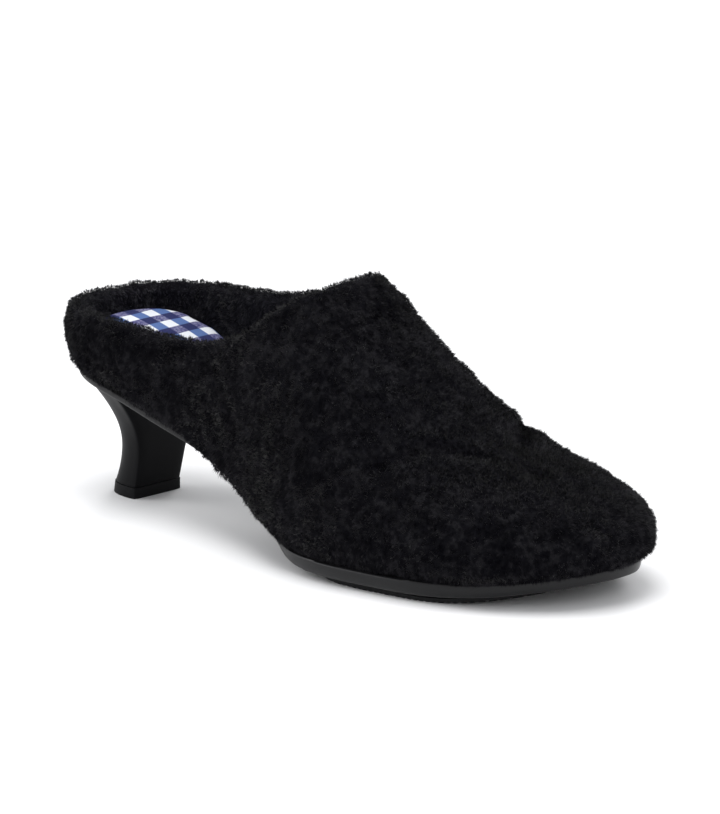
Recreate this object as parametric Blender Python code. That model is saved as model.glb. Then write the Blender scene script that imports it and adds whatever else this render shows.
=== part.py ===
"""Shearling mule for the right foot: pile upper, padded insole, cupped sole, forepart tread, curved heel and top lift.

The shoe is drawn from the back of the heel (x = 0) to the tip of the toe, standing on z = 0, with the inner
(medial) side at +Y. At the end everything moves so that the origin lies under the middle of the shoe.
"""

from collections import namedtuple

import bpy
import numpy as np

# Overall sizes, in metres
SHOE_LENGTH = 0.255
BALL_WIDTH = 0.094
HEEL_WIDTH = 0.067
SEAT_HEIGHT = 0.0495
BALL_HEIGHT = 0.0080
INSTEP_HEIGHT = 0.0980
TOE_OFFSET = 0.007

# Upper
PILE_WALL = 0.0085
BELLY_HEIGHT = 0.0115
TUCK_UNDER = 0.0085
LASTING_MARGIN = 0.010
MARGIN_THICKNESS = 0.0015
VAMP_LENGTH = 0.123
COLLAR_HEIGHT = 0.0645
HEEL_ROUND = 0.035
TOE_ROUND = 0.066

# Insole
INSOLE_SEAT_THICKNESS = 0.0125
INSOLE_FORE_THICKNESS = 0.0065
INSOLE_CLEARANCE = 0.0006

# Sole
SEAT_THICKNESS = 0.0024
SOLE_INSET = 0.0026
SOLE_TOE_INSET = 0.0060
SOLE_SEAT_INSET = 0.0052
SOLE_WAIST_INSET = 0.0100
SOLE_EDGE_ROUND = 0.0034
TREAD_THICKNESS = 0.0020
TREAD_INSET = 0.0008
TREAD_BEVEL = 0.0005
TREAD_LENGTH = 0.095
TREAD_TOE_INSET = 0.024

# Heel and top lift
LIFT_THICKNESS = 0.0042
HEEL_TIP_WIDTH = 0.0226
HEEL_TIP_DEPTH = 0.0176
HEEL_TIP_BREAST = 0.0309
HEEL_BREAST_LEAN = 0.0061
HEEL_TOP_WIDTH = 0.0520
HEEL_TOP_DEPTH = 0.0304
LIFT_STEP = 0.0003

# Pieces that meet keep this gap
GAP = 0.0003

# The collection that holds the pieces
COLLECTION = "mule"

# The upper's mesh: how steeply the topline is carried past the throat, and how far its points keep to the heel
BEYOND_SLOPE = 0.35
HEEL_CROWDING = 1.6
ROW_CROWDING = 1.7

# Mesh density: points round the outline and along each stretch of the upper's wall
OUTLINE_STEPS = 44
UPPER_STATIONS = 76
DOME_ROWS = 16
RIM_ROWS = 5
TUCK_ROWS = 5
HEEL_POINTS = 36
LINE_POINTS = 900
HALVINGS = 60

# Rows of the upper and sole. Columns: station along the length, the two half widths over the pile before the
# toe and heel close, as shares of the full width there, and the top and the foot of the sole as shares of
# their rise from the ball to the seat.
Section = namedtuple("Section", "station outer inner top foot")
SECTIONS = [
    Section(0.000, 0.500, 0.500, 1.000, 1.000),
    Section(0.060, 0.500, 0.500, 0.945, 0.948),
    Section(0.135, 0.500, 0.500, 0.860, 0.868),
    Section(0.215, 0.490, 0.485, 0.715, 0.734),
    Section(0.300, 0.484, 0.470, 0.540, 0.573),
    Section(0.380, 0.497, 0.468, 0.340, 0.383),
    Section(0.460, 0.528, 0.465, 0.122, 0.174),
    Section(0.500, 0.543, 0.466, 0.044, 0.090),
    Section(0.540, 0.552, 0.470, 0.004, 0.032),
    Section(0.580, 0.553, 0.478, 0.000, 0.005),
    Section(0.620, 0.546, 0.487, 0.000, 0.000),
    Section(0.700, 0.524, 0.499, 0.000, 0.000),
    Section(0.780, 0.504, 0.500, 0.000, 0.000),
    Section(0.860, 0.488, 0.488, 0.014, 0.032),
    Section(0.930, 0.470, 0.465, 0.064, 0.096),
    Section(1.000, 0.450, 0.430, 0.142, 0.172),
]

# How much of the width at a station follows the ball (1) or the heel (0)
Widening = namedtuple("Widening", "station share")
WIDENINGS = [
    Widening(0.00, 0.00),
    Widening(0.28, 0.02),
    Widening(0.40, 0.22),
    Widening(0.52, 0.62),
    Widening(0.62, 0.92),
    Widening(0.70, 1.00),
    Widening(1.00, 1.00),
]

# The ridge of the upper over the middle of the foot, as a share of the instep height. Behind the throat it is
# the shape of the last inside the collar, which only sets how the side walls lean.
Ridge = namedtuple("Ridge", "station height")
RIDGES = [
    Ridge(0.000, 1.270),
    Ridge(0.200, 1.270),
    Ridge(0.350, 1.210),
    Ridge(0.450, 1.100),
    Ridge(0.517, 0.978),
    Ridge(0.600, 0.782),
    Ridge(0.680, 0.617),
    Ridge(0.740, 0.524),
    Ridge(0.800, 0.476),
    Ridge(0.860, 0.460),
    Ridge(0.920, 0.430),
    Ridge(1.000, 0.350),
]

# The side view of the topline. Columns: share of the way from the heel to the throat, and the share of the
# climb from the collar's low point to the instep on the outer and on the inner side of the foot.
Topline = namedtuple("Topline", "way outer inner")
TOPLINES = [
    Topline(0.00, 0.070, 0.070),
    Topline(0.15, 0.080, 0.100),
    Topline(0.30, 0.068, 0.155),
    Topline(0.44, 0.046, 0.215),
    Topline(0.54, 0.040, 0.270),
    Topline(0.62, 0.062, 0.345),
    Topline(0.70, 0.160, 0.440),
    Topline(0.78, 0.340, 0.560),
    Topline(0.86, 0.585, 0.705),
    Topline(0.93, 0.815, 0.850),
    Topline(1.00, 1.000, 1.000),
]

# The side of the sole from its bottom face to its top edge. Columns: share of the edge round that the ring
# stands in from the sole's widest line, and share of the thickness.
EdgeRing = namedtuple("EdgeRing", "inset height")
SOLE_EDGE = [
    EdgeRing(1.00, 0.00),
    EdgeRing(0.62, 0.06),
    EdgeRing(0.28, 0.22),
    EdgeRing(0.06, 0.48),
    EdgeRing(0.00, 0.74),
    EdgeRing(0.02, 0.92),
    EdgeRing(0.14, 1.00),
]

# The side of the insole, from its foot up
INSOLE_EDGE = [
    EdgeRing(0.00, 0.00),
    EdgeRing(0.00, 0.35),
    EdgeRing(0.00, 0.72),
    EdgeRing(0.10, 0.92),
    EdgeRing(0.34, 1.00),
]

# The heel from the top lift (0) to the seat (1). Columns: height, then how far the width, the depth and the
# breast line have gone from their values at the tip to their values at the seat.
HeelRing = namedtuple("HeelRing", "height width depth breast")
HEEL_RINGS = [
    HeelRing(0.00, 0.000, -0.080, 0.00),
    HeelRing(0.10, 0.005, -0.155, 0.15),
    HeelRing(0.22, 0.020, -0.190, 0.30),
    HeelRing(0.35, 0.045, -0.180, 0.45),
    HeelRing(0.48, 0.110, -0.105, 0.57),
    HeelRing(0.60, 0.240, 0.050, 0.68),
    HeelRing(0.71, 0.410, 0.250, 0.78),
    HeelRing(0.81, 0.590, 0.480, 0.86),
    HeelRing(0.90, 0.780, 0.720, 0.93),
    HeelRing(0.96, 0.910, 0.890, 0.97),
    HeelRing(1.00, 1.000, 1.000, 1.00),
]

# Stretches of the length, as shares of it, over which a thickness or an inset changes
WAIST_BACK = (0.36, 0.20)
WAIST_FRONT = (0.43, 0.57)
TOE_START = (0.74, 0.95)
INSOLE_TAPER = (0.62, 0.32)
BALL_SHARE = 0.62

# Shape of the cross-sections: larger powers are squarer
HEEL_PLAN_POWERS = (2.35, 2.35)
TOE_PLAN_POWERS = (2.35, 2.35)
DOME_POWERS = (2.35, 1.85)
TOE_DOME_POWERS = (2.35, 2.10)
TOE_TURN_POWER = 1.6
TUCK_POWER = 3.0
TREAD_POWERS = (4.0, 2.4)
HEEL_BACK_POWER = 2.3
HEEL_FRONT_POWER = 5.0
HEEL_FRONT_BULGE = 0.0020

# Colours: base colour, roughness, metallic
PILE_BLACK = ((0.010, 0.010, 0.012), 0.90, 0.0)
GINGHAM_BLUE = ((0.160, 0.210, 0.420), 0.85, 0.0)
SOLE_BLACK = ((0.018, 0.018, 0.020), 0.38, 0.0)
TREAD_BLACK = ((0.014, 0.014, 0.015), 0.65, 0.0)
HEEL_BLACK = ((0.016, 0.016, 0.018), 0.33, 0.0)
LIFT_BLACK = ((0.020, 0.020, 0.021), 0.55, 0.0)


def through(rows, name, at):
    """Smooth curve through one column of a table, read at the stations `at`, which may be one or many."""
    xs = np.array([row[0] for row in rows])
    ys = np.array([getattr(row, name) for row in rows])
    slopes = np.gradient(ys, xs)
    at = np.clip(np.asarray(at, float), xs[0], xs[-1])
    i = np.clip(np.searchsorted(xs, at) - 1, 0, len(xs) - 2)
    step = xs[i + 1] - xs[i]
    t = (at - xs[i]) / step
    rest = 1 - t
    ends = ys[i] * rest**2 * (1 + 2 * t) + ys[i + 1] * t**2 * (3 - 2 * t)
    turns = slopes[i] * t * rest**2 - slopes[i + 1] * t**2 * rest
    return ends + step * turns


def eased(share, stretch):
    """0 at the stretch's first share of the length and 1 at its second, with soft ends."""
    way = np.clip((share - stretch[0]) / (stretch[1] - stretch[0]), 0, 1)
    return way**2 * (3 - 2 * way)


def rounding(distance, length, side_power, top_power):
    """1 beyond `length` from an end of the shoe, falling to 0 at the end itself along a superellipse."""
    short = np.clip(1 - distance / length, 0, 1)
    return (1 - short**side_power) ** (1 / top_power)


def ends_closed(x, heel_powers, toe_powers):
    heel = rounding(x, HEEL_ROUND, *heel_powers)
    toe = rounding(SHOE_LENGTH - x, TOE_ROUND, *toe_powers)
    return heel * toe


def full_width(x):
    share = through(WIDENINGS, "share", x / SHOE_LENGTH)
    return HEEL_WIDTH + (BALL_WIDTH - HEEL_WIDTH) * share


def centre_line(x):
    """The toe turns towards the inner side."""
    lead = np.clip((x / SHOE_LENGTH - BALL_SHARE) / (1 - BALL_SHARE), 0, 1)
    return TOE_OFFSET * lead**TOE_TURN_POWER


def half_width(x, side):
    """Half width over the pile, on the outer side (-1) or the inner side (+1)."""
    share = np.where(
        side > 0,
        through(SECTIONS, "inner", x / SHOE_LENGTH),
        through(SECTIONS, "outer", x / SHOE_LENGTH),
    )
    return full_width(x) * share * ends_closed(x, HEEL_PLAN_POWERS, TOE_PLAN_POWERS)


def sole_top(x):
    """Height of the face between sole and upper."""
    share = np.maximum(through(SECTIONS, "top", x / SHOE_LENGTH), 0)
    return BALL_HEIGHT + (SEAT_HEIGHT - BALL_HEIGHT) * share


def sole_foot(x):
    """Height of the sole's bottom face, flat where the tread stands on the floor."""
    share = np.maximum(through(SECTIONS, "foot", x / SHOE_LENGTH), 0)
    return TREAD_THICKNESS + (SEAT_HEIGHT - SEAT_THICKNESS - TREAD_THICKNESS) * share


def belly(x):
    """Height of the upper's widest line."""
    return sole_top(x) + BELLY_HEIGHT


def ridge(x):
    return INSTEP_HEIGHT * through(RIDGES, "height", x / SHOE_LENGTH)


def dome(x):
    """How far the ridge stands over the widest line."""
    return (ridge(x) - belly(x)) * ends_closed(x, DOME_POWERS, TOE_DOME_POWERS)


def topline_height(x, side):
    """Height of the collar's edge on the outer side (-1) or the inner side (+1), carried on past the throat."""
    name = "inner" if side > 0 else "outer"
    throat = SHOE_LENGTH - VAMP_LENGTH
    climb = through(TOPLINES, name, x / throat)
    beyond = np.maximum(x - throat, 0) * BEYOND_SLOPE
    return COLLAR_HEIGHT + (ridge(throat) - COLLAR_HEIGHT) * climb + beyond


def both_sides(outer, inner):
    """A closed ring from an outer-side line and an inner-side line that share their ends."""
    return np.vstack([outer, inner[-2:0:-1]])


def outward(ring):
    """Unit normals of a ring in plan, pointing out of the shoe."""
    along = np.roll(ring, -1, axis=0) - np.roll(ring, 1, axis=0)
    normal = np.stack([-along[:, 1], along[:, 0]], axis=1)
    normal /= np.linalg.norm(normal, axis=1, keepdims=True)
    middle = ring[:, :2] - ring[:, :2].mean(axis=0)
    return normal if (normal * middle).sum() > 0 else -normal


def moved_in(ring, inset, height):
    """The ring drawn in by `inset` in plan, at height(x)."""
    inset = np.broadcast_to(inset, len(ring))
    plan = ring[:, :2] - outward(ring) * inset[:, None]
    return np.column_stack([plan, height(plan[:, 0])])


def crossing(function, low, high):
    """Where a rising function passes zero, by halving."""
    for _ in range(HALVINGS):
        middle = (low + high) / 2
        low, high = (middle, high) if function(middle) < 0 else (low, middle)
    return (low + high) / 2


def level_line(share, side):
    """One side of the line on the outer face at a share of the rise from the widest line to the topline.

    It starts at the back of the heel and ends over the middle of the foot: at the toe for share 0 and at the
    throat for share 1.
    """

    def rise(x):
        return share * (topline_height(x, side) - belly(x))

    back, front = 0.0, SHOE_LENGTH
    if share > 0:
        back = crossing(lambda x: dome(x) - rise(x), 0.0, HEEL_ROUND)
        front = crossing(lambda x: rise(x) - dome(x), SHOE_LENGTH - VAMP_LENGTH, SHOE_LENGTH)
    turn = np.linspace(0, np.pi, LINE_POINTS)
    x = back + (front - back) * (1 - np.cos(turn)) / 2
    level = np.clip(rise(x) / np.maximum(dome(x), 1e-7), 0, 1)
    side_power, top_power = DOME_POWERS
    out = (1 - level**top_power) ** (1 / side_power)
    out[[0, -1]] = 0
    y = centre_line(x) + side * half_width(x, side) * out
    return np.stack([x, y, belly(x) + rise(x)], axis=1)


def run_of(line):
    return np.concatenate([[0], np.cumsum(np.linalg.norm(np.diff(line, axis=0), axis=1))])


def level_ring(share):
    """A closed ring on the outer face. Near the heel its points stand over those of the widest line."""
    base = np.linspace(0, 1, UPPER_STATIONS // 2 + 1)
    sides = []
    for side in (-1, 1):
        line = level_line(share, side)
        run = run_of(line)
        longest = run_of(level_line(0.0, side))[-1]
        wanted = longest * base - (longest - run[-1]) * base**HEEL_CROWDING
        sides.append(np.stack([np.interp(wanted, run, line[:, k]) for k in range(3)], axis=1))
    return both_sides(*sides)


def face_normals(rows):
    """Unit normals of rows of closed rings, pointing away from the foot."""
    around = np.roll(rows, -1, axis=1) - np.roll(rows, 1, axis=1)
    up = np.gradient(rows, axis=0)
    normal = np.cross(around, up)
    normal /= np.linalg.norm(normal, axis=2, keepdims=True)
    flat = normal[0, :, :2] * outward(rows[0])
    return normal if flat.sum() > 0 else -normal


def rim(outer_edge, inner_edge, up):
    """Half-round rings over the collar's edge, from the outer face to the inner one."""
    middle = (outer_edge + inner_edge) / 2
    across = (outer_edge - inner_edge) / 2
    radius = np.linalg.norm(across, axis=1, keepdims=True)
    turns = np.linspace(0, np.pi, RIM_ROWS + 2)[1:-1]
    return [middle + across * np.cos(turn) + up * radius * np.sin(turn) for turn in turns]


def upper_rings():
    """Closed rings round the upper's wall, from the tuck under the foot, up, over the rim and down inside."""
    outer = np.stack([level_ring(share) for share in np.linspace(0, 1, DOME_ROWS) ** ROW_CROWDING])
    foot = outer[0]
    normals = face_normals(outer)
    inner = outer - normals * PILE_WALL
    up = outer[-1] - outer[-2]
    up -= normals[-1] * (up * normals[-1]).sum(axis=1, keepdims=True)
    up /= np.linalg.norm(up, axis=1, keepdims=True)

    def margin_foot(x):
        return sole_top(x) + GAP

    def margin_top(x):
        return margin_foot(x) + MARGIN_THICKNESS

    rings = [moved_in(foot, TUCK_UNDER + LASTING_MARGIN, margin_foot)]
    for turn in np.linspace(np.pi / 2, 0, TUCK_ROWS + 1)[:-1]:
        out, down = np.cos(turn) ** (2 / TUCK_POWER), np.sin(turn) ** (2 / TUCK_POWER)
        ring = moved_in(foot, TUCK_UNDER * (1 - out), margin_foot)
        ring[:, 2] += (BELLY_HEIGHT - GAP) * (1 - down)
        rings.append(ring)
    rings += list(outer)
    rings += rim(outer[-1], inner[-1], up)
    rings += list(inner[::-1])
    rings.append(moved_in(foot, PILE_WALL, margin_top))
    rings.append(moved_in(foot, TUCK_UNDER + LASTING_MARGIN, margin_top))
    return rings


def new_object(name, vertices, faces, colour, sharp_degrees):
    mesh = bpy.data.meshes.new(name)
    mesh.from_pydata([tuple(v) for v in vertices], [], faces)
    mesh.validate()
    mesh.shade_smooth()
    mesh.set_sharp_from_angle(angle=np.radians(sharp_degrees))
    mesh.materials.append(principled(name, *colour))
    piece = bpy.data.objects.new(name, mesh)
    bpy.data.collections[COLLECTION].objects.link(piece)
    return piece


def principled(name, base, roughness, metallic):
    material = bpy.data.materials.new(name)
    material.use_nodes = True
    shader = material.node_tree.nodes["Principled BSDF"]
    shader.inputs["Base Color"].default_value = (*base, 1)
    shader.inputs["Roughness"].default_value = roughness
    shader.inputs["Metallic"].default_value = metallic
    return material


def bands(rings, loops):
    """Quads between following rings, and from the last to the first if the wall closes on itself."""
    count = len(rings[0])
    faces = []
    for a in range(loops):
        b = (a + 1) % len(rings)
        for i in range(count):
            j = (i + 1) % count
            faces.append((a * count + i, a * count + j, b * count + j, b * count + i))
    return faces


def strip(first, count):
    """Cover a ring with cross strips between its two sides."""
    faces = []
    for i in range(count // 2):
        left, right = i, (count - i) % count
        next_left, next_right = i + 1, count - i - 1
        corners = [left, next_left, next_right, right]
        faces.append(tuple(first + c for c in dict.fromkeys(corners)))
    return faces


def wall(name, rings, colour, sharp_degrees=50):
    """A hollow solid: a closed band of rings."""
    vertices = np.vstack(rings)
    return facing_out(new_object(name, vertices, bands(rings, len(rings)), colour, sharp_degrees))


def block(name, rings, colour, sharp_degrees=50):
    """A solid between its first and last ring, which are covered."""
    count = len(rings[0])
    vertices = np.vstack(rings)
    faces = bands(rings, len(rings) - 1)
    faces += [face[::-1] for face in strip(0, count)]
    faces += strip((len(rings) - 1) * count, count)
    return facing_out(new_object(name, vertices, faces, colour, sharp_degrees))


def facing_out(piece):
    """Turn the faces round if the mesh holds a negative volume."""
    mesh = piece.data
    mesh.calc_loop_triangles()
    points = np.array([v.co for v in mesh.vertices])
    corners = points[np.array([t.vertices for t in mesh.loop_triangles])]
    if np.linalg.det(corners).sum() < 0:
        mesh.flip_normals()
    return piece


def sole_inset(x):
    """How far the sole's edge stands in from the pile: hidden at the waist."""
    share = x / SHOE_LENGTH
    return (
        SOLE_WAIST_INSET
        + (SOLE_INSET - SOLE_WAIST_INSET) * eased(share, WAIST_FRONT)
        + (SOLE_SEAT_INSET - SOLE_WAIST_INSET) * eased(share, WAIST_BACK)
        + (SOLE_TOE_INSET - SOLE_INSET) * eased(share, TOE_START)
    )


def x_paired_ring():
    """The widest line with each outer point level with an inner one, close together at both ends."""
    turn = np.linspace(0, np.pi, OUTLINE_STEPS + 1)
    x = SHOE_LENGTH * (1 - np.cos(turn)) / 2
    sides = [
        np.stack([x, centre_line(x) + side * half_width(x, side), belly(x)], axis=1)
        for side in (-1, 1)
    ]
    return both_sides(*sides)


def sole_rings():
    edge = x_paired_ring()
    thickness = sole_top(edge[:, 0]) - sole_foot(edge[:, 0])
    edge_round = SOLE_EDGE_ROUND * (thickness / (BALL_HEIGHT - TREAD_THICKNESS)) ** 2
    rings = []
    for row in SOLE_EDGE:
        inset = sole_inset(edge[:, 0]) + edge_round * row.inset

        def height(x, share=row.height):
            return sole_foot(x) + (sole_top(x) - sole_foot(x)) * share

        rings.append(moved_in(edge, inset, height))
    return rings


def tread_rings():
    """A thin rubber piece under the forepart, inside the sole's bottom edge."""
    reach = -np.cos(np.linspace(0, np.pi, OUTLINE_STEPS + 1))
    x = SHOE_LENGTH - TREAD_TOE_INSET + (reach - 1) * TREAD_LENGTH / 2
    side_power, end_power = TREAD_POWERS
    close = (1 - np.abs(reach) ** side_power) ** (1 / end_power)
    margin = SOLE_INSET + SOLE_EDGE_ROUND + TREAD_INSET
    sides = []
    for side in (-1, 1):
        wide = np.maximum(half_width(x, side) - margin, 0) * close
        sides.append(np.stack([x, centre_line(x) + side * wide, x], axis=1))
    edge = both_sides(*sides)

    def foot(at):
        return sole_foot(at) - TREAD_THICKNESS

    def top(at):
        return sole_foot(at) - GAP

    def shoulder(at):
        return foot(at) + TREAD_BEVEL

    return [
        moved_in(edge, TREAD_BEVEL, foot),
        moved_in(edge, 0.0, shoulder),
        moved_in(edge, 0.0, top),
    ]


def insole_rings():
    """The padded insole inside the upper's wall, with a softly rounded top edge."""
    edge = x_paired_ring()
    side = PILE_WALL + INSOLE_CLEARANCE
    rings = []
    for row in INSOLE_EDGE:

        def height(x, share=row.height):
            return sole_top(x) + GAP + MARGIN_THICKNESS + GAP + insole_thickness(x) * share

        rings.append(moved_in(edge, side + INSOLE_FORE_THICKNESS * row.inset, height))
    return rings


def insole_thickness(x):
    """A thick pad under the heel, thinner towards the toes."""
    back = eased(x / SHOE_LENGTH, INSOLE_TAPER)
    return INSOLE_FORE_THICKNESS + (INSOLE_SEAT_THICKNESS - INSOLE_FORE_THICKNESS) * back


def heel_outline(width, depth, breast):
    """A D in plan: nearly flat at the breast, round at the back. It starts at the middle of the back."""
    turn = np.linspace(0, 2 * np.pi, HEEL_POINTS, endpoint=False)
    back = np.cos(turn) > 0
    power = np.where(back, HEEL_BACK_POWER, HEEL_FRONT_POWER)
    reach = np.where(back, depth - HEEL_FRONT_BULGE, HEEL_FRONT_BULGE)
    along = np.sign(np.cos(turn)) * np.abs(np.cos(turn)) ** (2 / power)
    across = np.sign(np.sin(turn)) * np.abs(np.sin(turn)) ** (2 / power)
    x = breast - HEEL_FRONT_BULGE - reach * along
    return np.stack([x, -across * width / 2], axis=1)


def heel_rings():
    rings = []
    for row in HEEL_RINGS:
        width = HEEL_TIP_WIDTH + (HEEL_TOP_WIDTH - HEEL_TIP_WIDTH) * row.width
        depth = HEEL_TIP_DEPTH + (HEEL_TOP_DEPTH - HEEL_TIP_DEPTH) * row.depth
        breast = HEEL_TIP_BREAST + HEEL_BREAST_LEAN * row.breast
        plan = heel_outline(width, depth, breast)
        seat = sole_foot(plan[:, 0]) - GAP
        height = LIFT_THICKNESS + (seat - LIFT_THICKNESS) * row.height
        rings.append(np.column_stack([plan, height]))
    return rings


def lift_rings():
    """The top lift carries the heel's flare down to the floor."""
    first = HEEL_RINGS[0]
    top_depth = HEEL_TIP_DEPTH + (HEEL_TOP_DEPTH - HEEL_TIP_DEPTH) * first.depth + LIFT_STEP
    rings = []
    for share, depth in ((0.0, HEEL_TIP_DEPTH), (1.0, top_depth)):
        plan = heel_outline(HEEL_TIP_WIDTH + 2 * LIFT_STEP, depth, HEEL_TIP_BREAST)
        height = np.full(len(plan), (LIFT_THICKNESS - GAP) * share)
        rings.append(np.column_stack([plan, height]))
    return rings


def main():
    for old in list(bpy.data.objects):
        bpy.data.objects.remove(old)
    collection = bpy.data.collections.new(COLLECTION)
    bpy.context.scene.collection.children.link(collection)

    pieces = [
        wall("upper", upper_rings(), PILE_BLACK),
        block("insole", insole_rings(), GINGHAM_BLUE),
        block("sole", sole_rings(), SOLE_BLACK),
        block("tread", tread_rings(), TREAD_BLACK),
        block("heel", heel_rings(), HEEL_BLACK),
        block("top_lift", lift_rings(), LIFT_BLACK),
    ]
    widest = level_ring(0.0)[:, 1]
    for piece in pieces:
        piece.location = (-SHOE_LENGTH / 2, -(widest.min() + widest.max()) / 2, 0)


main()
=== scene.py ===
"""Looks of the shearling mule: creased pelt and its pile, checked insole, sole, tread, heel and top lift."""

import itertools
import math
from collections import namedtuple

import bmesh
import bpy
import numpy as np
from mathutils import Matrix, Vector
from mathutils.bvhtree import BVHTree


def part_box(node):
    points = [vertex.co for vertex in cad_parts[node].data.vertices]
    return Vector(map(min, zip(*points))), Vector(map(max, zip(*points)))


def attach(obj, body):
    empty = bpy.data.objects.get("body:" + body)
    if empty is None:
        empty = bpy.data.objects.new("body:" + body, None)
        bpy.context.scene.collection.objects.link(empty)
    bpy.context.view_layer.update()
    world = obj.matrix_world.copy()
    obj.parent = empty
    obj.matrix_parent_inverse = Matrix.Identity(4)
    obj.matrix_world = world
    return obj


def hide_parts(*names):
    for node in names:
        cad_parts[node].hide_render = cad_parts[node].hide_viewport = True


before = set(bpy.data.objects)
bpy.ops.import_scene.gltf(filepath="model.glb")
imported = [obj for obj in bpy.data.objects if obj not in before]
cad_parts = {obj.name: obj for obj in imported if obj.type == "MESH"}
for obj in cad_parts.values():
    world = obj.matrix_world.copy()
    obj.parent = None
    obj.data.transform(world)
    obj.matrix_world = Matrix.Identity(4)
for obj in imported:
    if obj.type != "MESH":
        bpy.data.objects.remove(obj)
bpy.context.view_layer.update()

MM = 0.001

# The shoe's own directions
DOWN = np.array([0.0, 0.0, -1.0])
TOEWARD = np.array([1.0, 0.0, 0.0])

# Lattice of the smooth noise and of the locks
LATTICE = 32

# Meshes: points this near are one, a search goes this far, and flat enough triangles pair up into quads
WELD = 0.01 * MM
FAR = 10.0 * MM
PAIR_BEND = math.radians(35)
PAIR_SKEW = math.radians(60)

# Middle of the foot's space: how far over the insole it runs, where it ends, and how it turns at the toe
MIDDLE_STATIONS = 24
STATION_REACH = 12 * MM
MIDDLE_LIFT = 3 * MM
HEEL_SHARE = 0.13
TOE_SHARE = 0.16
TOE_TURN = 6.0 * MM
TOE_TURN_FROM = 0.62

# Pelt: how far the skin lies under the tips of the pile, and the lumps that the pile's locks raise on it
PILE_DEPTH = 1.25 * MM
LUMP_SIZES = (7.0 * MM, 2.8 * MM)
LUMP_HEIGHTS = (0.55 * MM, 0.50 * MM)
LUMP_SEED = 11
# It is bare this near to the sole or the insole, and in full fur from the second distance on
BARE_CLEARANCE = 0.3 * MM
FURRY_CLEARANCE = 1.2 * MM
# How quickly its outside and its hem begin, and how high the hem is, where the pile hangs over the sole
OUTSIDE_STEEPNESS = 2
HEM_STEEPNESS = 2
HEM_START = 1.5
HEM_HEIGHT = 2.4 * MM

# Creases of the pelt, as the shoe has bent. Each runs between two places on the outer face: the share of
# the length from the heel, and the turn over the foot in degrees, from the outer side (0) over the top (90)
# to the inner side (180). `bow` is how far its middle strays, in degrees.
Crease = namedtuple("Crease", "from_share from_turn to_share to_turn bow depth width")
CREASES = [
    Crease(0.655, 12, 0.820, 78, 10, 1.4 * MM, 3.2 * MM),
    Crease(0.765, 62, 0.780, 122, -6, 0.7 * MM, 4.4 * MM),
    Crease(0.700, 140, 0.800, 100, 6, 1.3 * MM, 3.0 * MM),
    Crease(0.640, 168, 0.745, 132, -8, 1.1 * MM, 2.8 * MM),
    Crease(0.720, 172, 0.800, 146, 5, 0.9 * MM, 2.4 * MM),
    Crease(0.590, 18, 0.700, 50, -8, 0.8 * MM, 3.0 * MM),
    Crease(0.330, 28, 0.420, 2, 6, 1.0 * MM, 3.0 * MM),
    Crease(0.250, 14, 0.330, 30, 4, 0.7 * MM, 2.6 * MM),
    Crease(0.400, 176, 0.320, 152, -5, 0.9 * MM, 3.0 * MM),
    Crease(0.560, 70, 0.545, 112, 8, 0.7 * MM, 2.6 * MM),
]
CREASE_POINTS = 28
CREASE_END = 0.02
CREASE_FADE = 0.6
# The ridges beside a crease: height to its depth, and place and width to its width
RIDGE_HEIGHT = 0.5
RIDGE_PLACE = 1.7
RIDGE_WIDTH = 0.9

# Pile: hairs in locks, each a kite-shaped blade that leans with its lock
HAIRS = 296_000
LINING_HAIRS = 56_000
HAIR_SEED = 5
LINING_SEED = 6
OUTER_PILE = ("pile_heel", "pile_instep", "pile_vamp", "pile_toe")
LINING_PILE = ("pile_lining",)
# Where hairs stand: faces turned this far to the foot are lining, and it is thinner in the toe's dark
LINING_FACES = -0.2
HAIRLESS_UNDER = 0.15
DEEP_FROM = 0.1
DEEP_SHARE = 0.15
HEEL_TO_TOE_SLANT = 0.25
# The way the pile lies
NAP_DOWN = 0.55
NAP_TOEWARD = 0.35
SWEEP = 0.8
SWEEP_SIZE = 15 * MM
SWEEP_SEEDS = (21, 22, 23)
SWIRL = 0.6
SWIRL_SIZE = 5 * MM
SWIRL_SEEDS = (24, 25, 26)
# The lean and rise of a hair and of its lock
NAP_LEAN = 0.90 * MM
LOCK_SIZE = 2.0 * MM
LOCK_SEED = 31
LOCK_TONE_SIZE = 1.3 * LOCK_SIZE
LOCK_TONE_SEED = 32
LOCK_LEAN = 0.4
LOCK_PULL = 0.55
LOCK_RISE = 0.50
STRAY = 0.30 * MM
HAIR_RISE = 1.25 * MM
RISE_SPREAD = (0.72, 1.18)
SHORTEST = 0.5
GUARD_SHARE = 0.10
GUARD_RISE = 1.5
# At the hem the hairs stand out a little less, lean less, and drop over the edge
HEM_RISE_LOSS = 0.1
HEM_LEAN_LOSS = 0.6
HEM_DROP = 1.7 * MM
HEM_SPREAD = (0.7, 1.1)
# The blade of a hair
HAIR_WIDTH = 0.205 * MM
WIDTH_SPREAD = (0.6, 1.25)
BELLY_RISE = 0.52
BELLY_LEAN = 0.44
ROLL = 0.40
ROOT_DEPTH = 0.05 * MM
FLATNESS = 0.66
BLADE_FACES = np.array([[0, 2, 1, 1, 2, 3]])
BLADE_MAP = np.array([[0.5, 0.1], [0.1, 0.5], [0.9, 0.5], [0.5, 0.9]])

# Wool: colours of its darks and its lights, and how much light the patches and the tips add
BLACK_WOOL = ((0.0003, 0.0002, 0.0014, 1), (0.0158, 0.0151, 0.0178, 1))
# The lining's wool: partly its own lighter tone, and partly painted light that lifts the shade inside the
# shoe
LINING_WOOL_WITH_FILL_LIGHT = ((0.0110, 0.0104, 0.0150, 1), (0.0400, 0.0390, 0.0450, 1))
# The skin's wool: the wool's own tone, lightened by painted light that lifts the shade in the gaps between
# the hairs
SKIN_WOOL_WITH_FILL_LIGHT = ((0.0030, 0.0029, 0.0046, 1), (0.0120, 0.0118, 0.0136, 1))
BROAD_POWER = 1.5
FINE_POWER = 3.0
PATCH_LIGHT = 0.23
TIP_LIGHT = 1.9

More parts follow.
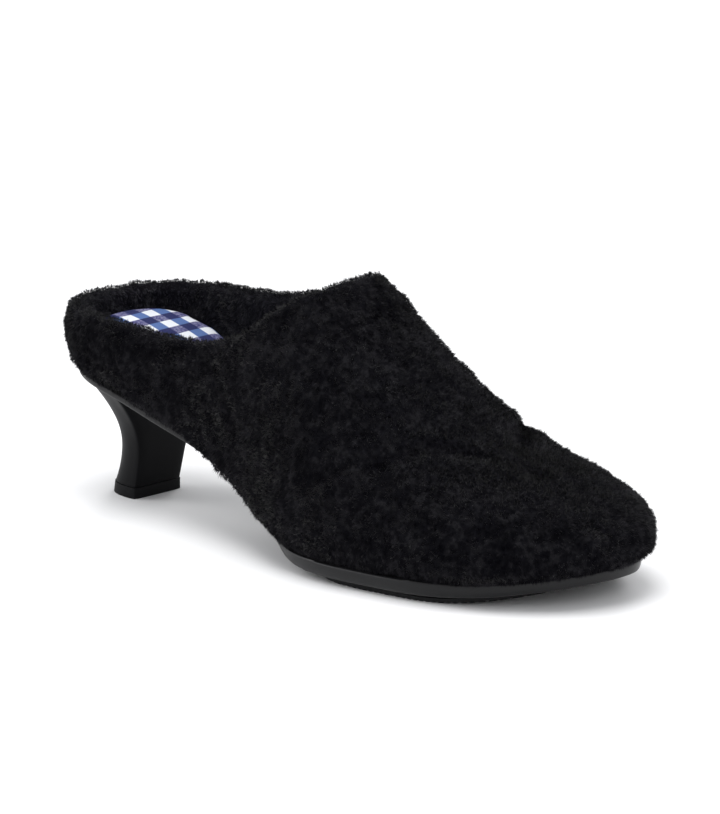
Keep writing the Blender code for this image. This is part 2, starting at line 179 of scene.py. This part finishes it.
# Gingham: checks along and across the shoe, the middle of one white check, and the yarns
CHECK_LENGTH = 4.67 * MM
CHECK_WIDTH = 5.12 * MM
WHITE_CHECK = (-99.1 * MM, 8.7 * MM)
STRIPE_SHARE = 0.5
STRIPE_START = 0.75
THREAD = 0.42 * MM
TWILL_GAP = 0.62
WHITE_YARN = (0.74, 0.76, 0.80, 1)
BLUE_YARN = (0.080, 0.142, 0.340, 1)
NAVY_YARN = (0.012, 0.016, 0.085, 1)
HATCH_DARK = (0.040, 0.038, 0.150, 1)
HATCH_LIGHT = (0.46, 0.46, 0.58, 1)
RUBBED_YARN = (0.30, 0.33, 0.42, 1)
RUBBED = 0.05

# Footbed: how the cloth cover is puffed up, and the shape that the heel and the wall press into it
PAD_VOXEL = 3.0 * MM
PAD_SHRINK = 0.4 * MM
PAD_GLUED_BELOW = 0.1
PAD_PRESSURE = 2.5
PAD_FRAMES = 20
PAD_SWELL = 1.2 * MM
PAD_RISE = 0.6 * MM
HEEL_DIP = 0.4 * MM
HEEL_DIP_REACH = 24.0 * MM
HEEL_TILT = 0.05
HEEL_TILT_REACH = 22.0 * MM
EDGE_TUCK = 1.2 * MM
EDGE_REACH = 6.0 * MM

# Tread: grooves across its underside
RIB_PITCH = 2.4 * MM
GROOVE_DEPTH = 0.45 * MM
GROOVE_STEEPNESS = 2.2
GROOVE_EDGE = 0.6

# Moulded pieces: colours of the black plastic, of the rubber greyed by wear, and of the painted highlight on
# sharp edges
BLACK = ((0.0040, 0.0040, 0.0046, 1), (0.0068, 0.0068, 0.0076, 1))
WORN_BLACK = ((0.0062, 0.0062, 0.0068, 1), (0.0100, 0.0100, 0.0110, 1))
# Painted highlight: the pale colour that sharp edges are painted with, standing in for the light they catch
EDGE_HIGHLIGHT_COLOUR = (0.060, 0.060, 0.064, 1)

# Stage: the floor, the even light all round, and the lamps with their size in metres and power in watts
FLOOR_REACH = 6.0
FLOOR_COLOUR = (0.86, 0.86, 0.865, 1)
SKY_COLOUR = (0.97, 0.98, 1.0, 1)
SKY_STRENGTH = 0.80
Lamp = namedtuple("Lamp", "name place target size power")
LAMPS = [
    Lamp("top", (0.1, -0.2, 1.6), (0, 0, 0), 1.2, 17),
    Lamp("left", (-1.3, -0.9, 0.8), (0, 0, 0.03), 1.0, 9),
    Lamp("right", (1.4, -0.6, 0.7), (0.05, 0, 0.02), 1.0, 5),
    Lamp("back", (-0.7, 1.5, 0.9), (0, 0, 0.05), 0.9, 10),
]

# Camera at the photograph's angle
CAMERA_AZIMUTH = 45.0
CAMERA_ELEVATION = 14.5
CAMERA_DISTANCE = 8.0
CAMERA_LENS = 1018.0
CAMERA_AIM = (0.004, 0.0, 0.050)
CAMERA_NEAREST = 0.05
CAMERA_FURTHEST = 50


def drift(points, size, seed):
    """Smooth noise from -1 to 1 that changes over about `size`."""
    values = np.random.default_rng(seed).uniform(-1, 1, (LATTICE, LATTICE, LATTICE))
    at = points / size
    cell = np.floor(at).astype(int)
    t = at - cell
    t = t * t * (3 - 2 * t)
    total = np.zeros(len(points))
    for corner in itertools.product((0, 1), repeat=3):
        weight = np.where(corner, t, 1 - t).prod(axis=1)
        total += weight * values[tuple(((cell + corner) % LATTICE).T)]
    return total


def drifts(points, size, seeds):
    """Three such noises side by side, as a direction at each point."""
    return np.stack([drift(points, size, seed) for seed in seeds], axis=1)


def lock_centres(points, spacing, seed):
    """The middle of the lock that each point belongs to, from scattered spots about `spacing` apart."""
    spots = np.random.default_rng(seed).uniform(0.1, 0.9, (LATTICE, LATTICE, LATTICE, 3))
    at = points / spacing
    cell = np.floor(at).astype(int)
    nearest = np.full(len(points), np.inf)
    centre = np.zeros_like(points)
    for step in itertools.product((-1, 0, 1), repeat=3):
        near = cell + step
        spot = near + spots[tuple((near % LATTICE).T)]
        away = ((spot - at) ** 2).sum(axis=1)
        closer = away < nearest
        nearest[closer] = away[closer]
        centre[closer] = spot[closer]
    return centre * spacing


def unit(rows):
    return rows / np.maximum(np.linalg.norm(rows, axis=-1, keepdims=True), 1e-12)


def along(normals, direction):
    """The part of a direction that lies in each surface."""
    direction = np.broadcast_to(direction, normals.shape)
    return direction - normals * (direction * normals).sum(axis=1, keepdims=True)


def points_of(mesh):
    flat = np.empty(len(mesh.vertices) * 3, np.float32)
    mesh.vertices.foreach_get("co", flat)
    return flat.reshape(-1, 3).astype(float)


def normals_of(mesh):
    flat = np.empty(len(mesh.vertices) * 3, np.float32)
    mesh.vertex_normals.foreach_get("vector", flat)
    return flat.reshape(-1, 3).astype(float)


def move_points(mesh, points):
    mesh.vertices.foreach_set("co", points.astype(np.float32).ravel())
    mesh.update()


def add_piece(name, mesh):
    piece = bpy.data.objects.new(name, mesh)
    bpy.context.scene.collection.objects.link(piece)
    return piece


def cage(node, name):
    """A solid's own mesh, welded, with its triangles paired again into quads."""
    bm = bmesh.new()
    bm.from_mesh(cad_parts[node].data)
    bmesh.ops.remove_doubles(bm, verts=bm.verts, dist=WELD)
    bmesh.ops.join_triangles(
        bm, faces=bm.faces, angle_face_threshold=PAIR_BEND, angle_shape_threshold=PAIR_SKEW
    )
    mesh = bpy.data.meshes.new(name)
    bm.to_mesh(mesh)
    bm.free()
    return add_piece(name, mesh)


def apply_modifiers(piece):
    depsgraph = bpy.context.evaluated_depsgraph_get()
    made = bpy.data.meshes.new_from_object(piece.evaluated_get(depsgraph))
    made.name = piece.name
    piece.modifiers.clear()
    piece.data = made


def smoothed(piece, levels):
    modifier = piece.modifiers.new("Smooth form", "SUBSURF")
    modifier.levels = modifier.render_levels = levels
    modifier.boundary_smooth = "PRESERVE_CORNERS"
    apply_modifiers(piece)
    piece.data.shade_smooth()
    return piece


def surface_of(piece):
    """A search tree of a piece's faces."""
    return BVHTree.FromPolygons(
        [v.co for v in piece.data.vertices], [p.vertices for p in piece.data.polygons]
    )


def distances_to(piece, points):
    """How far each point is from a piece, up to FAR."""
    tree = surface_of(piece)
    found = [tree.find_nearest(Vector(p), FAR)[3] for p in points]
    return np.array([FAR if d is None else d for d in found])


def insole_line():
    """Stations along the insole and its top height at each."""
    points = points_of(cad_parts["insole"].data)
    stations = np.linspace(points[:, 0].min(), points[:, 0].max(), MIDDLE_STATIONS)
    tops = [points[np.abs(points[:, 0] - s) < STATION_REACH, 2].max() for s in stations]
    return stations, np.array(tops)


INSOLE_STATIONS, INSOLE_TOPS = insole_line()
UPPER_LOW, UPPER_HIGH = (np.array(corner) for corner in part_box("upper"))
UPPER_LENGTH = UPPER_HIGH[0] - UPPER_LOW[0]
HEEL_MIDDLE = UPPER_LOW[0] + HEEL_SHARE * UPPER_LENGTH
TOE_MIDDLE = UPPER_HIGH[0] - TOE_SHARE * UPPER_LENGTH


def foot_middle(x):
    """The middle of the foot's space at any stations. The turn of a crease is told from it."""
    x = np.clip(x, HEEL_MIDDLE, TOE_MIDDLE)
    share = np.clip((x - UPPER_LOW[0]) / UPPER_LENGTH, 0, 1)
    height = np.interp(x, INSOLE_STATIONS, INSOLE_TOPS) + MIDDLE_LIFT
    side = TOE_TURN * np.clip((share - TOE_TURN_FROM) / (1 - TOE_TURN_FROM), 0, 1)
    return np.stack([x, side, height], axis=-1)


def faces_out(points, normals):
    """1 where a face looks out of the shoe, -1 where it looks at the foot."""
    return (unit(points - foot_middle(points[:, 0])) * normals).sum(axis=1)


def crease_path(tree, crease):
    """Points along a crease on the outer face."""
    share = np.linspace(0, 1, CREASE_POINTS)
    stations = crease.from_share + (crease.to_share - crease.from_share) * share
    turns = crease.from_turn + (crease.to_turn - crease.from_turn) * share
    turns = np.radians(turns + crease.bow * np.sin(np.pi * share))
    path = []
    for station, turn in zip(stations, turns):
        middle = foot_middle(UPPER_LOW[0] + station * UPPER_LENGTH)
        away = np.array([0.0, -math.cos(turn), math.sin(turn)])
        far = middle + away * UPPER_LENGTH
        hit = tree.ray_cast(Vector(far), Vector(-away))[0]
        if hit is not None:
            path.append(hit)
    return np.array(path)


def creased(points, tree):
    """How far the creases push each point of the pelt out: soft troughs with a ridge on both sides."""
    push = np.zeros(len(points))
    for crease in CREASES:
        path = crease_path(tree, crease)
        away = np.linalg.norm(points[:, None] - path[None], axis=2)
        place = away.argmin(axis=1) / (len(path) - 1)
        away = away.min(axis=1) / crease.width
        fade = np.sin(np.pi * np.clip(place, CREASE_END, 1 - CREASE_END)) ** CREASE_FADE
        trough = -np.exp(-(away**2))
        ridges = RIDGE_HEIGHT * np.exp(-(((away - RIDGE_PLACE) / RIDGE_WIDTH) ** 2))
        push += crease.depth * fade * (trough + ridges)
    return push


def make_pelt():
    """The skin under the pile: the upper's own form, creased, lumpy with locks, set in by the pile's depth.

    Also gives, from 0 to 1 at each of its points, how full its fur is and how much it belongs to the hem.
    """
    pelt = smoothed(cage("upper", "pelt"), 2)
    mesh = pelt.data
    points, normals = points_of(mesh), normals_of(mesh)
    tree = surface_of(pelt)
    from_sole = distances_to(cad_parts["sole"], points)
    clear = np.minimum(from_sole, distances_to(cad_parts["insole"], points))
    furry = np.clip((clear - BARE_CLEARANCE) / (FURRY_CLEARANCE - BARE_CLEARANCE), 0, 1)
    outside = np.clip(faces_out(points, normals) * OUTSIDE_STEEPNESS, 0, 1)
    low = np.clip(HEM_START - from_sole / HEM_HEIGHT, 0, 1)
    hem = np.clip(outside * HEM_STEEPNESS, 0, 1) * low
    lumps = sum(
        height * drift(points, size, seed)
        for seed, (size, height) in enumerate(zip(LUMP_SIZES, LUMP_HEIGHTS), start=LUMP_SEED)
    )
    push = furry * (lumps - PILE_DEPTH) + furry * outside * creased(points, tree)
    move_points(mesh, points + normals * push[:, None])
    return pelt, furry, hem


def scatter(pelt, furry, hem, on_lining, count, seed):
    """Places for `count` hairs outside the pelt or on its lining, which is thinner in the toe's dark."""
    mesh = pelt.data
    mesh.calc_loop_triangles()
    corners = np.empty(len(mesh.loop_triangles) * 3, np.int32)
    mesh.loop_triangles.foreach_get("vertices", corners)
    corners = corners.reshape(-1, 3)
    points, normals = points_of(mesh), normals_of(mesh)
    a, b, c = (points[corners[:, k]] for k in range(3))
    area = np.linalg.norm(np.cross(b - a, c - a), axis=1) / 2
    middle = (a + b + c) / 3
    inside = faces_out(middle, unit(normals[corners].sum(axis=1))) < LINING_FACES
    weight = area * (furry[corners].min(axis=1) > HAIRLESS_UNDER) * (inside == on_lining)
    deep = on_lining & (middle[:, 0] > DEEP_FROM * UPPER_LENGTH)
    weight = weight * np.where(deep, DEEP_SHARE, 1.0)
    rng = np.random.default_rng(seed)
    chosen = rng.choice(len(weight), count, p=weight / weight.sum())
    share = rng.dirichlet((1, 1, 1), count)
    place = (points[corners[chosen]] * share[:, :, None]).sum(axis=1)
    normal = unit((normals[corners[chosen]] * share[:, :, None]).sum(axis=1))
    reach = (furry[corners[chosen]] * share).sum(axis=1)
    hang = (hem[corners[chosen]] * share).sum(axis=1)
    return place, normal, reach, hang, rng


def nap(places, normals):
    """The way the pile lies: down and toeward, swept about in patches as if brushed by a hand."""
    sweep = drifts(places, SWEEP_SIZE, SWEEP_SEEDS)
    swirl = drifts(places, SWIRL_SIZE, SWIRL_SEEDS)
    return along(normals, NAP_DOWN * DOWN + NAP_TOEWARD * TOEWARD + SWEEP * sweep + SWIRL * swirl)


def hairs(places, normals, reach, hang, rng):
    """Each hair's root, the two corners of its belly and its tip, and a normal for each hair."""
    column = (len(places), 1)
    centres = lock_centres(places, LOCK_SIZE, LOCK_SEED)
    pull = along(normals, centres - places) * LOCK_PULL
    lock_tone = drift(centres, LOCK_TONE_SIZE, LOCK_TONE_SEED)[:, None]
    stray = along(normals, rng.normal(0, STRAY, places.shape))
    lean = nap(places, normals) * NAP_LEAN * (1 + LOCK_LEAN * lock_tone) + pull + stray
    rise = HAIR_RISE * (1 + LOCK_RISE * lock_tone) * rng.uniform(*RISE_SPREAD, column)
    rise = rise * np.where(rng.uniform(size=column) < GUARD_SHARE, GUARD_RISE, 1)
    hang = hang[:, None]
    grown = np.clip(reach, SHORTEST, 1)[:, None]
    rise = rise * grown * (1 - HEM_RISE_LOSS * hang)
    droop = DOWN * HEM_DROP * hang * rng.uniform(*HEM_SPREAD, column)
    lean = lean * grown * (1 - HEM_LEAN_LOSS * hang) + droop
    tip = places + normals * rise + lean
    belly = places + normals * rise * BELLY_RISE + lean * BELLY_LEAN
    run = unit(tip - belly)
    across = unit(np.cross(run, normals))
    roll = rng.normal(0, ROLL, column)
    across = across * np.cos(roll) + np.cross(run, across) * np.sin(roll)
    half = across * HAIR_WIDTH / 2 * rng.uniform(*WIDTH_SPREAD, column)
    blade_normal = unit(np.cross(run, across))
    blade_normal *= np.sign((blade_normal * normals).sum(axis=1, keepdims=True))
    shading = unit(FLATNESS * normals + (1 - FLATNESS) * blade_normal)
    root = places - normals * ROOT_DEPTH
    return np.stack([root, belly - half, belly + half, tip], axis=1), shading


def hair_piece(name, blades, shading, material):
    """One joined mesh of hairs, with a map that gives each hair a cell of its own."""
    count = len(blades)
    mesh = bpy.data.meshes.new(name)
    first = np.arange(count)[:, None] * 4
    faces = (first + BLADE_FACES).reshape(-1, 3)
    mesh.vertices.add(count * 4)
    mesh.vertices.foreach_set("co", blades.astype(np.float32).ravel())
    mesh.loops.add(faces.size)
    mesh.loops.foreach_set("vertex_index", faces.ravel().astype(np.int32))
    mesh.polygons.add(len(faces))
    mesh.polygons.foreach_set("loop_start", np.arange(len(faces), dtype=np.int32) * 3)
    mesh.update(calc_edges=True)
    mesh.shade_smooth()
    mesh.normals_split_custom_set_from_vertices(np.repeat(shading, 4, axis=0))
    cell = np.arange(count)
    side = math.ceil(math.sqrt(count))
    corner = np.stack([cell % side, cell // side], axis=1) / side
    spots = BLADE_MAP / side
    places = (corner[:, None] + spots[None]).reshape(-1, 2)[faces.ravel()]
    layer = mesh.uv_layers.new(name="OFBake")
    layer.uv.foreach_set("vector", places.astype(np.float32).ravel())
    mesh.materials.append(material)
    return add_piece(name, mesh)


def make_pile(pelt, furry, hem, names, count, seed, material):
    """The hairs of the pelt's outside, or of its lining, in pieces from heel to toe."""
    on_lining = names == LINING_PILE
    places, normals, reach, hang, rng = scatter(pelt, furry, hem, on_lining, count, seed)
    order = np.argsort(places[:, 0] + HEEL_TO_TOE_SLANT * places[:, 1], kind="stable")
    blades, shading = hairs(places[order], normals[order], reach[order], hang[order], rng)
    parts = np.array_split(np.arange(count), len(names))
    return [
        hair_piece(name, blades[part], shading[part], material)
        for name, part in zip(names, parts)
    ]


def group(name, inputs, outputs):
    """A node group with number sockets: {name: default}."""
    tree = bpy.data.node_groups.new(name, "ShaderNodeTree")
    for direction, sockets in (("INPUT", inputs), ("OUTPUT", outputs)):
        for label, value in sockets.items():
            socket = tree.interface.new_socket(label, in_out=direction, socket_type="NodeSocketFloat")
            socket.default_value = value
    return tree, tree.nodes.new("NodeGroupInput"), tree.nodes.new("NodeGroupOutput")


def put(tree, kind, inputs=None, **settings):
    """Add a node, set its properties, and set or link its inputs."""
    node = tree.nodes.new(kind)
    for key, value in settings.items():
        setattr(node, key, value)
    for key, value in (inputs or {}).items():
        if isinstance(value, bpy.types.NodeSocket):
            tree.links.new(value, node.inputs[key])
        else:
            node.inputs[key].default_value = value
    return node


def maths(tree, operation, *values):
    node = put(tree, "ShaderNodeMath", dict(enumerate(values)), operation=operation)
    return node.outputs[0]


def blend_colours(tree, share, first, second):
    node = put(tree, "ShaderNodeMix", {0: share, 6: first, 7: second}, data_type="RGBA")
    return node.outputs[2]


def noise(tree, size, **settings):
    """Noise over the piece's own space, with features of a size given in metres."""
    place = put(tree, "ShaderNodeTexCoord").outputs["Object"]
    scale = maths(tree, "DIVIDE", 1.0, size)
    return put(tree, "ShaderNodeTexNoise", {"Vector": place, "Scale": scale, **settings}).outputs["Fac"]


def patches_group():
    """Patches: a mask from 0 to 1 of soft-edged patches of a size given in metres."""
    tree, given, result = group("Patches", {"Size": 0.005, "Contrast": 1.0}, {"Mask": 0.5})
    cloudy = noise(tree, given.outputs["Size"], Detail=3.0, Roughness=0.55)
    centred = maths(tree, "SUBTRACT", cloudy, 0.5)
    steep = maths(tree, "MULTIPLY", centred, maths(tree, "MULTIPLY", given.outputs["Contrast"], 2.2))
    mask = put(tree, "ShaderNodeClamp", {"Value": maths(tree, "ADD", steep, 0.5)})
    tree.links.new(mask.outputs[0], result.inputs["Mask"])
    return tree


def grain_group():
    """Grain: a fine height for a Bump node, from grains of a size given in metres."""
    tree, given, result = group("Grain", {"Size": 0.0005, "Depth": 1.0}, {"Height": 0.0})
    grains = noise(tree, given.outputs["Size"], Detail=2.0, Roughness=0.6)
    height = maths(tree, "MULTIPLY", grains, given.outputs["Depth"])
    tree.links.new(height, result.inputs["Height"])
    return tree


def edge_highlight_group():
    """Painted edge highlight: a mask that is 1 on sharp outer edges, broken up by noise."""
    tree, given, result = group("Painted edge highlight", {"Amount": 0.5, "Patch": 0.004}, {"Mask": 0.0})
    sharp = put(tree, "ShaderNodeNewGeometry").outputs["Pointiness"]
    edge = put(
        tree, "ShaderNodeMapRange",
        {"Value": sharp, "From Min": 0.505, "From Max": 0.56, "To Min": 0.0, "To Max": 1.0},
    ).outputs[0]
    broken = maths(tree, "MULTIPLY", edge, noise(tree, given.outputs["Patch"], Detail=4.0))
    mask = put(tree, "ShaderNodeClamp", {"Value": maths(tree, "MULTIPLY", broken, given.outputs["Amount"])})
    tree.links.new(mask.outputs[0], result.inputs["Mask"])
    return tree


# Shader groups shared by several materials
PATCHES, GRAIN, EDGE_HIGHLIGHT = patches_group(), grain_group(), edge_highlight_group()


def use(tree, shared, **inputs):
    node = tree.nodes.new("ShaderNodeGroup")
    node.node_tree = shared
    for key, value in inputs.items():
        node.inputs[key].default_value = value
    return node.outputs[0]


def new_material(name, **constants):
    material = bpy.data.materials.new(name)
    material.use_nodes = True
    shader = material.node_tree.nodes["Principled BSDF"]
    for key, value in constants.items():
        shader.inputs[key.replace("_", " ")].default_value = value
    return material, material.node_tree, shader


def add_bump(tree, shader, height, strength, distance):
    bump = put(tree, "ShaderNodeBump", {"Height": height, "Strength": strength, "Distance": distance})
    tree.links.new(bump.outputs["Normal"], shader.inputs["Normal"])


def pile_material(name, dark, light, sheen):
    """Black sheared wool: clumps of darker and lighter hair with a cold tint in the darks."""
    material, tree, shader = new_material(
        name, Roughness=0.8, Specular_IOR_Level=0.05, Sheen_Weight=sheen, Sheen_Roughness=0.3
    )
    broad = use(tree, PATCHES, Size=0.009, Contrast=1.5)
    fine = use(tree, PATCHES, Size=0.0028, Contrast=2.4)
    patches = maths(tree, "MULTIPLY", maths(tree, "ADD", broad, fine), PATCH_LIGHT)
    broad_tips = maths(tree, "POWER", broad, BROAD_POWER)
    fine_tips = maths(tree, "POWER", fine, FINE_POWER)
    tips = maths(tree, "MULTIPLY", maths(tree, "MULTIPLY", broad_tips, fine_tips), TIP_LIGHT)
    colour = blend_colours(tree, maths(tree, "ADD", patches, tips), dark, light)
    tree.links.new(colour, shader.inputs["Base Color"])
    add_bump(tree, shader, use(tree, GRAIN, Size=0.0007), strength=0.5, distance=0.3 * MM)
    return material


def striped(tree, place, width, bare):
    """1 on every second stripe across one coordinate, 0 at `bare` in the middle of a stripe left out."""
    turns = maths(tree, "DIVIDE", maths(tree, "SUBTRACT", place, bare), 2 * width)
    share = maths(tree, "FRACT", maths(tree, "ADD", turns, STRIPE_START))
    return maths(tree, "LESS_THAN", share, STRIPE_SHARE)


def gingham_material():
    """Plain-weave gingham: blue stripes along the shoe, navy ones across it, white where neither runs."""
    material, tree, shader = new_material(
        "gingham cotton", Roughness=0.9, Specular_IOR_Level=0.08, Sheen_Weight=0.03, Sheen_Roughness=0.5
    )
    split = put(tree, "ShaderNodeSeparateXYZ", {0: put(tree, "ShaderNodeTexCoord").outputs["Object"]})
    x, y = split.outputs[0], split.outputs[1]
    blue = striped(tree, y, CHECK_WIDTH, WHITE_CHECK[1])
    navy = striped(tree, x, CHECK_LENGTH, WHITE_CHECK[0])
    diagonal = maths(tree, "DIVIDE", maths(tree, "ADD", x, y), THREAD)
    twill = maths(tree, "GREATER_THAN", maths(tree, "FRACT", diagonal), TWILL_GAP)
    fleck = use(tree, PATCHES, Size=0.0009, Contrast=3.0)
    white_fleck = maths(tree, "MULTIPLY", twill, fleck)
    hatched = blend_colours(tree, white_fleck, HATCH_DARK, HATCH_LIGHT)
    plain = blend_colours(tree, navy, WHITE_YARN, hatched)
    coloured = blend_colours(tree, navy, BLUE_YARN, NAVY_YARN)
    cloth = blend_colours(tree, blue, plain, coloured)
    rubbed = maths(tree, "MULTIPLY", use(tree, PATCHES, Size=0.02, Contrast=1.0), RUBBED)
    cloth = blend_colours(tree, rubbed, cloth, RUBBED_YARN)
    tree.links.new(cloth, shader.inputs["Base Color"])
    weave = [
        maths(tree, "SINE", maths(tree, "MULTIPLY", c, 2 * math.pi / THREAD))
        for c in (x, y)
    ]
    add_bump(tree, shader, maths(tree, "MULTIPLY", *weave), strength=0.6, distance=0.12 * MM)
    return material


def moulded_material(name, dark, light, roughness, grain, depth, shine):
    """Black moulded plastic or rubber: slight tone changes, fine grain, and sharp edges painted paler as a
    highlight.
    """
    material, tree, shader = new_material(name, Specular_IOR_Level=shine)
    tone = blend_colours(tree, use(tree, PATCHES, Size=0.018, Contrast=1.0), dark, light)
    # Painted highlight: sharp outer edges are painted paler, standing in for the light they catch
    edge_highlight = use(tree, EDGE_HIGHLIGHT, Amount=0.9, Patch=0.003)
    colour = blend_colours(tree, edge_highlight, tone, EDGE_HIGHLIGHT_COLOUR)
    tree.links.new(colour, shader.inputs["Base Color"])
    smear = use(tree, PATCHES, Size=0.009, Contrast=1.2)
    smoothest, roughest = roughness
    rough = put(tree, "ShaderNodeMapRange", {"Value": smear, "To Min": smoothest, "To Max": roughest})
    tree.links.new(rough.outputs[0], shader.inputs["Roughness"])
    add_bump(tree, shader, use(tree, GRAIN, Size=grain), strength=0.35, distance=depth)
    return material


def puffed(pad):
    """A pad puffed up from its glued underside by cloth simulation, no point further than PAD_SWELL."""
    remesh = pad.modifiers.new("Even cloth", "REMESH")
    remesh.mode = "VOXEL"
    remesh.voxel_size = PAD_VOXEL
    apply_modifiers(pad)
    points, normals = points_of(pad.data), normals_of(pad.data)
    start = points - normals * PAD_SHRINK * np.clip(normals[:, 2:], 0, 1)
    move_points(pad.data, start)
    glued = pad.vertex_groups.new(name="glued")
    glued.add(np.flatnonzero(normals[:, 2] < PAD_GLUED_BELOW).tolist(), 1.0, "REPLACE")
    cloth = pad.modifiers.new("Cloth cover", "CLOTH")
    cloth.settings.use_pressure = True
    cloth.settings.uniform_pressure_force = PAD_PRESSURE
    cloth.settings.vertex_group_mass = glued.name
    cloth.settings.effector_weights.gravity = 0
    for step in range(1, PAD_FRAMES + 1):
        bpy.context.scene.frame_set(step)
    apply_modifiers(pad)
    bpy.context.scene.frame_set(1)
    swell = points_of(pad.data) - start
    reach = np.linalg.norm(swell, axis=1, keepdims=True)
    move_points(pad.data, start + swell * np.minimum(1, PAD_SWELL / np.maximum(reach, 1e-9)))
    return pad


def make_insole():
    """The padded footbed, dipped where the heel presses, its edge tucked down by the wall."""
    insole = smoothed(puffed(cage("insole", "footbed")), 1)
    points, normals = points_of(insole.data), normals_of(insole.data)
    upward = np.clip(normals[:, 2], 0, 1) ** 2
    heel = np.hypot(points[:, 0] - HEEL_MIDDLE, points[:, 1]) / HEEL_DIP_REACH
    dip = HEEL_DIP * np.exp(-(heel**2))
    ahead = np.clip(points[:, 0] - HEEL_MIDDLE, -HEEL_TILT_REACH, HEEL_TILT_REACH)
    faded = np.clip(2 - (points[:, 0] - HEEL_MIDDLE) / HEEL_TILT_REACH, 0, 1)
    near_wall = np.clip(1 - distances_to(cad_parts["upper"], points) / EDGE_REACH, 0, 1)
    tuck = EDGE_TUCK * near_wall**2
    points[:, 2] += upward * (PAD_RISE - dip - tuck - HEEL_TILT * ahead * faded)
    move_points(insole.data, points)
    insole.data.materials.append(gingham_material())
    return insole


def make_moulded(node, name, material, sharp_angle, rounding, levels=2):
    """A moulded piece in its solid's form, with its sharp edges rounded and its faces smoothed."""
    piece = cage(node, name)
    bevel = piece.modifiers.new("Soft edges", "BEVEL")
    bevel.limit_method = "ANGLE"
    bevel.angle_limit = math.radians(sharp_angle)
    bevel.width = rounding
    bevel.segments = 2
    smoothed(piece, levels)
    piece.data.materials.append(material)
    return piece


def make_tread(material):
    """The forepart tread, grooved across its underside."""
    tread = make_moulded("tread", "forepart_tread", material, sharp_angle=40, rounding=0.20 * MM, levels=3)
    points, normals = points_of(tread.data), normals_of(tread.data)
    under = np.clip(-normals[:, 2], 0, 1) ** 2
    wave = np.sin(2 * np.pi * points[:, 0] / RIB_PITCH)
    groove = np.clip(GROOVE_STEEPNESS * wave - GROOVE_EDGE, 0, 1)
    points[:, 2] += GROOVE_DEPTH * under * groove
    move_points(tread.data, points)
    return tread


def dress(piece, node, body="root"):
    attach(piece, body)
    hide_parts(node)


def make_stage():
    """Pale seamless floor and soft studio lights."""
    reach = FLOOR_REACH
    mesh = bpy.data.meshes.new("floor")
    corners = [(-reach, -reach, 0), (reach, -reach, 0), (reach, reach, 0), (-reach, reach, 0)]
    mesh.from_pydata(corners, [], [(0, 1, 2, 3)])
    floor = add_piece("floor", mesh)
    material, _, _ = new_material("pale floor", Base_Color=FLOOR_COLOUR, Roughness=0.9)
    mesh.materials.append(material)

    world = bpy.data.worlds.new("studio")
    bpy.context.scene.world = world
    world.use_nodes = True
    sky = world.node_tree.nodes["Background"]
    sky.inputs["Color"].default_value = SKY_COLOUR
    sky.inputs["Strength"].default_value = SKY_STRENGTH
    for lamp in LAMPS:
        area_light(lamp)


def turned_to(direction):
    """The rotation of a lamp or a camera that looks in a direction."""
    return direction.to_track_quat("-Z", "Y").to_euler()


def area_light(lamp):
    light = bpy.data.lights.new(lamp.name, "AREA")
    light.shape = "DISK"
    light.size = lamp.size
    light.energy = lamp.power
    holder = bpy.data.objects.new(lamp.name, light)
    holder.location = lamp.place
    holder.rotation_euler = turned_to(Vector(lamp.target) - Vector(lamp.place))
    holder.visible_camera = False
    bpy.context.scene.collection.objects.link(holder)


def make_camera():
    """The camera at the photograph's angle, framing the one shoe."""
    turn, rise = math.radians(CAMERA_AZIMUTH), math.radians(CAMERA_ELEVATION)
    level = math.cos(rise)
    back = Vector((math.sin(turn) * level, -math.cos(turn) * level, math.sin(rise)))
    lens = bpy.data.cameras.new("camera")
    lens.lens = CAMERA_LENS
    lens.clip_start = CAMERA_NEAREST
    lens.clip_end = CAMERA_FURTHEST
    camera = bpy.data.objects.new("camera", lens)
    camera.location = Vector(CAMERA_AIM) + back * CAMERA_DISTANCE
    camera.rotation_euler = turned_to(-back)
    bpy.context.scene.collection.objects.link(camera)
    bpy.context.scene.camera = camera


make_stage()
make_camera()
bpy.context.scene.view_settings.view_transform = "Standard"

pelt, furry, hem = make_pelt()
wool = pile_material("black wool", *BLACK_WOOL, sheen=0.12)
# Lining wool, lighter than the outer wool: partly its own tone, and partly painted light against the shade
# inside the shoe
lining = pile_material("lining wool with painted fill light", *LINING_WOOL_WITH_FILL_LIGHT, sheen=0.08)
# Skin between the hairs: the wool's tone, lightened by painted light against the shade in the gaps
skin = pile_material("skin wool with painted fill light", *SKIN_WOOL_WITH_FILL_LIGHT, sheen=0.0)
pelt.data.materials.append(skin)
dress(pelt, "upper")
pile = make_pile(pelt, furry, hem, OUTER_PILE, HAIRS, HAIR_SEED, wool)
pile += make_pile(pelt, furry, hem, LINING_PILE, LINING_HAIRS, LINING_SEED, lining)
for lock in pile:
    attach(lock, "root")

footbed = make_insole()
dress(footbed, "insole")

sole_plastic = moulded_material(
    "sole plastic", *BLACK, roughness=(0.34, 0.46), grain=0.8 * MM, depth=0.05 * MM, shine=0.24
)
tread_rubber = moulded_material(
    "tread rubber", *BLACK, roughness=(0.55, 0.75), grain=0.5 * MM, depth=0.10 * MM, shine=0.20
)
heel_plastic = moulded_material(
    "heel plastic", *BLACK, roughness=(0.42, 0.52), grain=0.6 * MM, depth=0.03 * MM, shine=0.05
)
lift_rubber = moulded_material(
    "lift rubber", *WORN_BLACK, roughness=(0.45, 0.62), grain=0.5 * MM, depth=0.08 * MM, shine=0.06
)
cupsole = make_moulded("sole", "cupsole", sole_plastic, sharp_angle=50, rounding=0.35 * MM)
dress(cupsole, "sole")
dress(make_tread(tread_rubber), "tread")
kitten_heel = make_moulded("heel", "kitten_heel", heel_plastic, sharp_angle=50, rounding=0.30 * MM)
dress(kitten_heel, "heel")
heel_lift = make_moulded("top_lift", "heel_lift", lift_rubber, sharp_angle=40, rounding=0.10 * MM)
dress(heel_lift, "top_lift")
